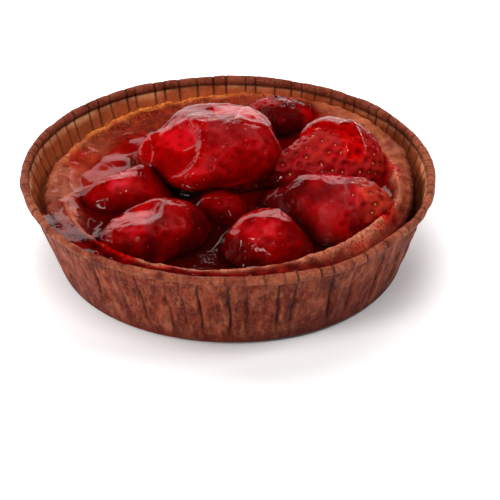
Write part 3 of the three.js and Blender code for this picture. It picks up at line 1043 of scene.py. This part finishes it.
def berry_field(x, y, z, node):
    """About the distance from a berry's skin, with its lobes run together and its facets cut."""
    lobes = BERRIES[node]
    field = lobe_field(x, y, z, lobes[0])
    for lobe in lobes[1:]:
        field = smooth_min(field, lobe_field(x, y, z, lobe), LOBE_BLEND)
    number = 200 + 10 * list(BERRIES).index(node)
    field = field + 0.6 * fractal(x, y, z, 8.0, number, 2) + 0.2 * value_noise(x, y, z, 2.9, number + 5)
    for *middle, direction, tilt, reach in FACETS.get(node, []):
        turn, lean = math.radians(direction), math.radians(tilt)
        dx, dy, dz = (axis - at for axis, at in zip((x, y, z), middle))
        across = dx * math.cos(turn) + dy * math.sin(turn)
        plane = across * math.sin(lean) + dz * math.cos(lean)
        plane = plane + 0.22 * value_noise(x, y, z, 5.0, number + 7)
        beyond = np.sqrt(dx**2 + dy**2 + dz**2) - reach
        field = smooth_max(field, plane - 0.8 * np.maximum(beyond, 0), 0.9)
    return field


def box_of(lobes, margin):
    """The lowest and highest corner of a box round some lobes."""
    low = [min(lobe[i] - max(lobe[3], lobe[4] * 1.6) for lobe in lobes) - margin for i in (0, 1)]
    high = [max(lobe[i] + max(lobe[3], lobe[4] * 1.6) for lobe in lobes) + margin for i in (0, 1)]
    low.append(min(lobe[2] - lobe[9] for lobe in lobes) - margin)
    high.append(max(lobe[2] + lobe[5] * 1.4 for lobe in lobes) + margin)
    return np.array(low), np.array(high)


def place_seeds(points, normals, seed, gap):
    """Picks points of a surface that are about this far apart, clear of the jelly."""
    rng = np.random.default_rng(seed)
    candidates = np.flatnonzero((points[:, 2] > POOL_LEVEL - 0.5) & (normals[:, 2] > -0.15))
    candidates = rng.permutation(candidates)[:6000]
    chosen = []
    free = np.ones(len(candidates), bool)
    place = points[candidates]
    for index, candidate in enumerate(candidates):
        if free[index]:
            chosen.append(candidate)
            free &= np.linalg.norm(place - place[index], axis=1) > gap * rng.uniform(0.85, 1.2)
    return np.array(chosen)


def berry_marks(points, normals, node, number, dimple, ridges):
    """How a berry is coloured: one value from 0 to 1 at each point for each kind of mark."""
    glaze_base, _, _, darkness = BERRY_LOOK[node]
    unglazed = glaze_base < 0
    blotch = fractal(*points.T, 6.0, 500 + number, 2)
    up, level = normals[:, 2], points[:, 2] - POOL_LEVEL
    # Paler flesh, mostly on bare skin, with a painted highlight where the skin faces up and on its ridges;
    # under the blob on the back right berry it is a painted sheen.
    pale = np.clip(smoothstep(0.2, 1.0, up) * 0.4 + 0.5 * blotch + ridges, 0, 1)
    pale = pale * (1 - 0.9 * dimple) * (0.36 if unglazed else 0.04)
    if node == "strawberry_right":
        bare = smoothstep(34, 37, points[:, 0])
        pale = pale + 0.7 * bare * (1 - 0.9 * dimple) * smoothstep(0.1, 0.9, up + 0.4 * blotch + ridges)
    if node == "strawberry_back_right":
        pale = np.maximum(pale * 0.8, 0.35 * (blob_share(*points.T) > 0))
    others = [berry_field(*points.T, other) for other in BERRIES if other != node]
    # Painted shade where a berry comes close to another, low down.
    crevice = smoothstep(5.5, 0.5, np.min(others, 0)) * smoothstep(10, 3, level)
    # Besides each berry's own darker tone and blotches, painted shade: near the pool, between berries, on
    # skin that faces up or down, and in the DARK_PATCHES.
    dark = darkness * (0.5 + 0.9 * blotch) + 0.2 * smoothstep(6.5, 0, level) + 0.6 * crevice
    dark = dark + 0.2 * smoothstep(0.55, 1.0, up)
    dark = dark + (0.06 if unglazed else 0.15) * smoothstep(0.75, 0.1, up)
    for *middle, radius, amount in DARK_PATCHES:
        dark = dark + amount * np.exp(-apart(*points.T, middle, radius))
    # A painted pink reflection in those patches, on glazed berries only.
    frost = frost_share(*points.T) * (not unglazed) * np.clip(0.6 + 1.2 * blotch + ridges, 0.15, 1)
    return {
        # Painted shade in the dimples round the seeds.
        "dimple": dimple * (0.5 if unglazed else 0.45),
        "pale": np.clip(pale, 0, 1),
        "dark": np.clip(dark, 0, 0.95),
        "frost": 0.7 * frost,
    }


def strawberry(node, lobes, number, material):
    """One berry with a dimple round each seed. Returns its seeds as (places, directions)."""
    low, high = box_of(lobes, 1.5)
    field = berry_field(*np.meshgrid(*grid_axes(low, high, BERRY_VOXEL), indexing="ij"), node)
    points, quads = mesh_of_field(field, low, BERRY_VOXEL)
    normals = vertex_normals(points, quads)
    glaze_base, seed_share, dimple_depth, _ = BERRY_LOOK[node]
    gap = SEED_SPACING * (0.85 if glaze_base < 0 else 1)
    chosen = place_seeds(points, normals, 300 + number, gap)
    kept = np.random.default_rng(600 + number).random(len(chosen)) < seed_share
    kept &= glaze_thickness(*points[chosen].T, node) < 0.95
    places, ways = points[chosen[kept]], normals[chosen[kept]]
    dimple = np.zeros(len(points))
    for place in points[chosen]:
        dimple = np.maximum(dimple, np.exp(-apart(*points.T, place, DIMPLE_RADIUS)))
    rough = np.full(len(points), 0.32 if glaze_base < 0 else 0.05)
    if node == "strawberry_right":
        rough = rough + 0.26 * smoothstep(34, 36, points[:, 0])
        dimple = dimple * (0.15 + 0.85 * smoothstep(29, 33, points[:, 0]))
    ridges = 0.5 - np.abs(value_noise(*points.T, 2.6, 450 + number))
    swell = rough * (fractal(*points.T, 1.6, 400 + number, 2) + 1.4 * ridges)
    points = points + normals * (swell - dimple_depth * dimple)[:, None]
    marks = berry_marks(points, normals, node, number, dimple, ridges)
    piece = new_piece(node.replace("strawberry", "berry"), points, [quads], material, marks)
    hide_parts(node)
    return places - ways * dimple_depth, ways


def unit_ball(rings, segments):
    """Points and faces of a small round shape of radius 1."""
    up = (np.pi * np.arange(1, rings) / rings - np.pi / 2)[:, None]
    turn = 2 * np.pi * np.arange(segments) / segments
    x, y = np.cos(up) * np.cos(turn), np.cos(up) * np.sin(turn)
    around = np.stack(np.broadcast_arrays(x, y, np.sin(up)), 2)
    points = np.concatenate([[[0, 0, -1]], around.reshape(-1, 3), [[0, 0, 1]]])
    return points, [ring_quads(rings - 1, segments), ring_caps(rings - 1, segments)]


def scatter(name, ball, sizes, frames, places, material, attributes=None):
    """Copies of a small shape, each stretched by sizes and turned by its frame, as one piece."""
    points, faces = ball
    copies = np.einsum("nij,npj->npi", frames, points[None] * sizes[:, None, :]) + places[:, None, :]
    offset = (np.arange(len(places)) * len(points))[:, None, None]
    faces = [(group[None] + offset).reshape(-1, group.shape[1]) for group in faces]
    values = {key: np.repeat(value, len(points)) for key, value in (attributes or {}).items()}
    return new_piece(name, copies.reshape(-1, 3), faces, material, values)


def frames_along(directions, rng):
    """Three axes at each point, the third along its direction and the first at a random turn."""
    random = rng.normal(size=directions.shape)
    first = random - directions * np.sum(random * directions, 1, keepdims=True)
    first /= np.linalg.norm(first, axis=1, keepdims=True)
    return np.stack([first, np.cross(directions, first), directions], 2)


def strawberries():
    """All the berries and their seeds. Returns where the seeds are."""
    material = berry_material()
    places, ways, covered = [], [], []
    for number, (node, lobes) in enumerate(BERRIES.items()):
        where, way = strawberry(node, lobes, number, material)
        places.append(where)
        ways.append(way)
        covered.append(smoothstep(-0.1, 0.3, glaze_thickness(*where.T, node)))
    places, ways, covered = (np.concatenate(parts) for parts in (places, ways, covered))
    rng = np.random.default_rng(5)
    length = rng.uniform(0.3, 0.46, len(places)) + 0.06 * (1 - covered)
    sizes = length[:, None] * (1, 0.68, 0.5)
    bare = {"golden": 1 - covered}
    piece = scatter("seeds", unit_ball(6, 8), sizes, frames_along(ways, rng), places, seed_material(), bare)
    return places


# ---- glaze and jelly ----------------------------------------------------------------------------


def film_thickness(x, y):
    """How thick the glaze lies on the crust, less than 0 where the crust is bare."""
    radius, degrees = polar(x, y)
    ragged = fractal(x, y, 0 * x, 6.0, 111, 3)
    film = np.full_like(radius, -1.0)
    for at, middle, spread, width, size in FILM_PATCHES:
        away = (wrap(degrees - at) / spread) ** 2 + ((radius - middle) / width) ** 2
        film = np.maximum(film, -1 + size * np.exp(-away))
    warp_x, warp_y = (3.0 * value_noise(x, y, 0 * x, 7.0, seed) for seed in (141, 142))
    waves = fractal(x + warp_x, y + warp_y, 0 * x, 9.0, 143, 2)
    most = 0.3 - 0.26 * facing(degrees, 176, 34, 4)
    film = np.minimum(film + 0.25 * ragged, most) + 0.14 * waves
    crest = rim_values(degrees)[2] + 0.8 * value_noise(x, y, 0 * x, 5.0, 151)
    bare = facing(degrees, -105, 58, 6) * bell(radius - crest, 0.75)
    return film - (1.1 + 0.7 * ragged) * bare


def distance_to_path(x, y, z, path, upright):
    """The distance to a line through points, where height counts for this much."""
    nearest = np.full(np.shape(x), 50.0)
    for start, end in zip(path, path[1:]):
        along = np.subtract(end, start)
        offset = sum((axis - at) * step for axis, at, step in zip((x, y, z), start, along))
        share = np.clip(offset / np.dot(along, along), 0, 1)
        dx, dy, dz = (axis - at - share * step for axis, at, step in zip((x, y, z), start, along))
        nearest = np.minimum(nearest, np.sqrt(dx**2 + dy**2 + upright * dz**2))
    return nearest


def blob_share(x, y, z):
    """1 under the thick blob of glaze, 0 away from it, with a rounded edge."""
    reach = np.clip(distance_to_path(x, y, z, BLOB_PATH, 0.5) / BLOB_HALF_WIDTH, 0, 1)
    return np.sqrt(1 - reach**2)


def frost_share(x, y, z):
    """1 in the patches of FROST, with a ragged edge, 0 elsewhere."""
    share = np.zeros(np.shape(x))
    for *middle, radius in FROST:
        share = np.maximum(share, np.exp(-apart(x, y, z, middle, radius)))
    return smoothstep(0.38, 0.5, share + 0.22 * value_noise(x, y, z, 3.6, 171))


def glaze_thickness(x, y, z, node):
    """How thick the glaze lies on a berry, less than 0 where its skin is bare."""
    base = BERRY_LOOK[node][0]
    glazed = base > 0
    thickness = base + 0.3 * (smoothstep(-0.07, 0.07, value_noise(x, y, z, 9.0, 127)) - 0.5)
    thickness = thickness + 0.14 * fractal(x, y, z, 5.0, 121, 2) + 0.04 * value_noise(x, y, z, 1.7, 125)
    thickness = thickness + 0.7 * smoothstep(6, 0, z - POOL_LEVEL) * glazed
    for *middle, radius, change in GLAZE_PATCHES:
        thickness = thickness + change * np.exp(-apart(x, y, z, middle, radius))
    thickness = thickness - 0.3 * frost_share(x, y, z) * glazed
    if node == "strawberry_back_right":
        share = blob_share(x, y, z)
        thickness = np.maximum(thickness, BLOB_THICKNESS * share - 3 * (share == 0))
    return thickness


def jelly_surface(x, y):
    """Height of the jelly's surface without the berries: the pool, the jelly outside the crest of
    the crust, and the film on the crust."""
    none = -50
    radius, degrees = polar(x, y)
    edge, _, crest, _, _ = rim_values(degrees)
    ripple = 0.36 * fractal(x, y, 0 * x, 7.0, 135, 2)
    calm = 1 - 0.8 * smoothstep(-14, -22, y)
    lean = bell(x + 35, 8) * bell(y + 13, 8)
    pool = POOL_LEVEL + ripple * calm - 0.07 * np.maximum(0, -16 - y) - 0.08 * (y + 13) * lean
    pool = np.where(radius < crest + 1, pool, none)
    first, last = OUTER_POOL
    within = smoothstep(first - 6, first + 6, degrees) * (1 - smoothstep(last - 6, last + 6, degrees))
    heaped = 1.2 * facing(degrees, -152, 18)
    spill = facing(degrees, -150, 16)
    outer = OUTER_POOL_LEVEL + (0.9 - 0.6 * spill) * ripple + heaped - 3.5 * (1 - within)
    outer = np.where(radius > crest, outer - 0.08 * (y + 27) * spill, none)
    film = np.where(radius < edge - 0.3, crust_top(x, y) + film_thickness(x, y), none)
    return smooth_max(np.maximum(pool, outer), film, 0.9)


def berry_skins(low, axes, seeds):
    """About the distance from the glaze over the berries, with dents over their seeds."""
    skin = np.full([len(axis) for axis in axes], 50, np.float32)
    for node, lobes in BERRIES.items():
        window, place = part_of_grid(low, axes, *box_of(lobes, 4))
        berry = berry_field(*place, node) - glaze_thickness(*place, node)
        skin[window] = smooth_min(skin[window], berry, 0.8)
    reach = 3.5 * GLAZE_VOXEL
    for seed in seeds:
        nearest = low + np.round((seed - low) / GLAZE_VOXEL) * GLAZE_VOXEL
        window, place = part_of_grid(low, axes, nearest - reach, nearest + reach)
        skin[window] += (0.14 * np.exp(-apart(*place, seed, 0.9))).astype(np.float32)
    return skin


def crinkle(field, low, axes):
    """Adds small folds to the surface of the glaze in the patches of CRINKLES."""
    for number, (*middle, radius, size) in enumerate(CRINKLES):
        reach = 1.6 * radius
        window, place = part_of_grid(low, axes, np.subtract(middle, reach), np.add(middle, reach))
        away = apart(*place, middle, radius)
        folds = 1 - 2 * np.abs(value_noise(*place, 2.2, 700 + number))
        folds = folds + 0.5 * value_noise(*place, 1.3, 800 + number)
        field[window] -= (size * folds * bell(away, 1) * smoothstep(2.6, 1.2, away)).astype(np.float32)


def beads(field, low, axes):
    """Raises the surface of the glaze along the lines of BEADS."""
    for path in BEADS:
        window, (x, y, z) = part_of_grid(low, axes, np.min(path, 0) - 4, np.max(path, 0) + 3.1)
        x = x + 0.5 * value_noise(x, y, z, 2.4, 161)
        away = distance_to_path(x, y, z, path, 0.1)
        broken = smoothstep(-0.5, 0.1, value_noise(x, y, z, 3.5, 163))
        field[window] -= (BEAD_HEIGHT * broken * bell(away, BEAD_WIDTH)).astype(np.float32)


def drops(field, axes):
    """Adds the drops of jelly on the rolled edge of the case."""
    x, y, z = np.meshgrid(*axes, indexing="ij", sparse=True)
    for direction, size in DROPS:
        turn = math.radians(direction)
        across = CASE["roll_radius"] + case_bulge(direction) - 0.6
        top = CASE["height"] - case_dip(direction, CASE["height"]) - 0.25
        dx, dy = x - across * math.cos(turn), y - across * math.sin(turn)
        field = np.minimum(field, np.sqrt(dx**2 + dy**2 + 1.6 * (z - top) ** 2) - size)
    return field


def glaze(seeds):
    """One closed body: the pool, the skin over the berries and the film on the crust."""
    low = np.array(GLAZE_BOX[0])
    axes = grid_axes(*GLAZE_BOX, GLAZE_VOXEL)
    flat_x, flat_y = np.meshgrid(axes[0], axes[1], indexing="ij")
    z = axes[2][None, None, :]
    surface = jelly_surface(flat_x, flat_y)
    slope_x, slope_y = np.gradient(np.clip(surface, 10, 40), GLAZE_VOXEL)
    steep = np.minimum(np.sqrt(1 + slope_x**2 + slope_y**2), 2.5)
    field = ((z - surface[:, :, None]) / steep[:, :, None]).astype(np.float32)

    shore = [(at_x, at_y, 0) for at_x, at_y, _ in SHORE_BEAD]
    blend = 3.6 - 3.0 * bell(distance_to_path(flat_x, flat_y, 0 * flat_x, shore, 1), 4)
    field = smooth_min(field, berry_skins(low, axes, seeds), blend[:, :, None])
    crinkle(field, low, axes)
    beads(field, low, axes)

    # It ends a little inside the crust, inside the paper wall and under the floor of the hollow.
    radius, degrees = polar(flat_x, flat_y)
    bottom = crust_top(flat_x, flat_y) - 1.0
    bottom = np.where(radius < CRUST["floor_radius"], CRUST["floor_height"] - 0.4, bottom)
    bottom = np.where(radius > rim_values(degrees)[0] - 0.8, 19.4, bottom)
    wall = wall_radius(degrees[:, :, None], z) - CASE["paper"] + 0.1
    field = np.maximum(np.maximum(field, bottom[:, :, None] - z), radius[:, :, None] - wall)
    points, quads = mesh_of_field(drops(field, axes), low, GLAZE_VOXEL)

    crinkled = np.zeros(len(points))
    for *middle, reach, size in CRINKLES:
        crinkled = np.maximum(crinkled, size / FULL_CRINKLE * bell(apart(*points.T, middle, reach), 1))
    wavy = 0.12 + 0.62 * smoothstep(1.0, 4.0, points[:, 2] - POOL_LEVEL)
    piece = new_piece("glaze", points, [quads], glaze_material(), {"crinkle": crinkled, "wavy": wavy})
    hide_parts("jelly")


# ---- crumbs -------------------------------------------------------------------------------------


def crumbs():
    """Loose and half-loose crumbs along the bare parts of the rim."""
    rng = np.random.default_rng(9)
    count = CRUMB_COUNT
    degrees = np.where(rng.random(count) < 0.8, rng.normal(115, 32, count), rng.normal(20, 32, count))
    edge, _, crest, _, _ = rim_values(degrees)
    radius = crest + (edge - crest) * rng.beta(2.2, 1.3, count) - 0.3
    turn = np.radians(degrees)
    x, y = radius * np.cos(turn), radius * np.sin(turn)
    size = rng.uniform(0.12, 0.28, count)
    places = np.stack([x, y, crust_top(x, y) + size * 0.15], 1)
    ways = rng.normal(size=(count, 3))
    ways /= np.linalg.norm(ways, axis=1, keepdims=True)
    sizes = np.stack([size, size * rng.uniform(0.6, 1, count), size * rng.uniform(0.5, 0.9, count)], 1)
    piece = scatter("crumbs", unit_ball(4, 6), sizes, frames_along(ways, rng), places, crumb_material())


# ---- stage, light and camera --------------------------------------------------------------------


def floor_material():
    """White, and lit by its own glow away from the tart; the glow fades towards a point a little in front of
    and to the right of the tart, which paints a shadow there beside the real one.
    """
    s = Shader("white_floor")
    # The glow is weakest round a point 25 mm right of the middle and 28 mm in front: a painted shadow.
    stretch = s.add("Mapping", {"Vector": s.place, "Scale": (1.6, 1, 1), "Location": (-0.04, 0.028, 0)})
    away = s.add("VectorMath", {0: stretch.outputs["Vector"]}, operation="LENGTH").outputs["Value"]
    s.set(
        Base_Color=(0.8, 0.79, 0.79, 1), Roughness=0.9, Specular_IOR_Level=0.1,
        Emission_Color=(1, 1, 1, 1), Emission_Strength=s.spread(away, 0.045, 0.14, 0.02, 0.52),
    )
    return s.material


def floor():
    rings, columns = 60, 96
    radius = (np.linspace(0, 1, rings + 1)[1:] ** 2 * FLOOR_RADIUS)[:, None]
    turn = np.arange(columns) * 2 * np.pi / columns
    points = np.stack(np.broadcast_arrays(radius * np.cos(turn), radius * np.sin(turn), 0.0), 2)
    vertices = np.concatenate([[[0, 0, 0]], points.reshape(-1, 3)])
    middle = ring_caps(rings, columns)[:columns]
    faces = [ring_quads(rings, columns)[:, ::-1], middle[:, ::-1]]
    new_object("floor", vertices, faces, floor_material())


def lamp(name, place, size, power):
    light = bpy.data.lights.new(name, "AREA")
    light.shape = "DISK"
    light.size = size
    light.energy = power
    thing = bpy.data.objects.new(name, light)
    thing.location = place
    thing.rotation_euler = (Vector(LAMP_TARGET) - Vector(place)).to_track_quat("-Z", "Y").to_euler()
    thing.visible_glossy = False
    thing.visible_camera = False
    bpy.context.scene.collection.objects.link(thing)


def world():
    """White to the camera, even and dim as a light, and the PANELS to whatever mirrors it."""
    made = bpy.data.worlds.new("studio")
    bpy.context.scene.world = made
    made.use_nodes = True
    n = Nodes(made.node_tree)
    direction = n.add("TexCoord").outputs["Generated"]
    x, y, z = n.add("SeparateXYZ", {0: direction}).outputs
    azimuth = n.math("DEGREES", n.math("ARCTAN2", y, x))
    elevation = n.math("DEGREES", n.math("ARCSINE", z))
    shine = MIRRORED_ROOM
    for at, up, half_width, half_height, soft, strength in PANELS:
        turned = n.math("WRAP", n.math("SUBTRACT", azimuth, at), 180, -180)
        aside = n.math("SUBTRACT", n.math("ABSOLUTE", turned), half_width)
        aside = n.math("MULTIPLY", aside, 0.3 if half_width > WIDE_PANEL else 1)
        above = n.math("ABSOLUTE", n.math("SUBTRACT", elevation, up))
        outside = n.math("MAXIMUM", aside, n.math("SUBTRACT", above, half_height))
        panel = n.spread(outside, soft / 2, -soft / 2, 0, strength, "SMOOTHSTEP")
        shine = n.math("MAXIMUM", shine, panel)

    def background(color, strength):
        return n.add("Background", {"Color": color, "Strength": strength}).outputs["Background"]

    white = (1, 1, 1, 1)
    path = n.add("LightPath").outputs
    mirrored = background(PANEL_COLOR, shine)
    lit = n.add("MixShader", {"Fac": path["Is Glossy Ray"], 1: background(white, AMBIENT), 2: mirrored})
    seen = {"Fac": path["Is Camera Ray"], 1: lit.outputs["Shader"], 2: background(white, 1)}
    seen = n.add("MixShader", seen)
    n.add("OutputWorld", {"Surface": seen.outputs["Shader"]})


def camera():
    data = bpy.data.cameras.new("camera")
    data.lens = CAMERA_LENS
    data.sensor_width = 36
    thing = bpy.data.objects.new("camera", data)
    thing.location = CAMERA_PLACE
    thing.rotation_euler = Vector(CAMERA_DIRECTION).to_track_quat("-Z", "Y").to_euler()
    bpy.context.scene.collection.objects.link(thing)
    bpy.context.scene.camera = thing


def studio():
    floor()
    for name, settings in LAMPS.items():
        lamp(name, *settings)
    world()
    camera()
    bpy.context.scene.view_settings.view_transform = "Standard"


# ---- the whole tart -----------------------------------------------------------------------------

paper_case()
crust()
seed_places = strawberries()
glaze(seed_places)
crumbs()
studio()

bpy.context.view_layer.update()
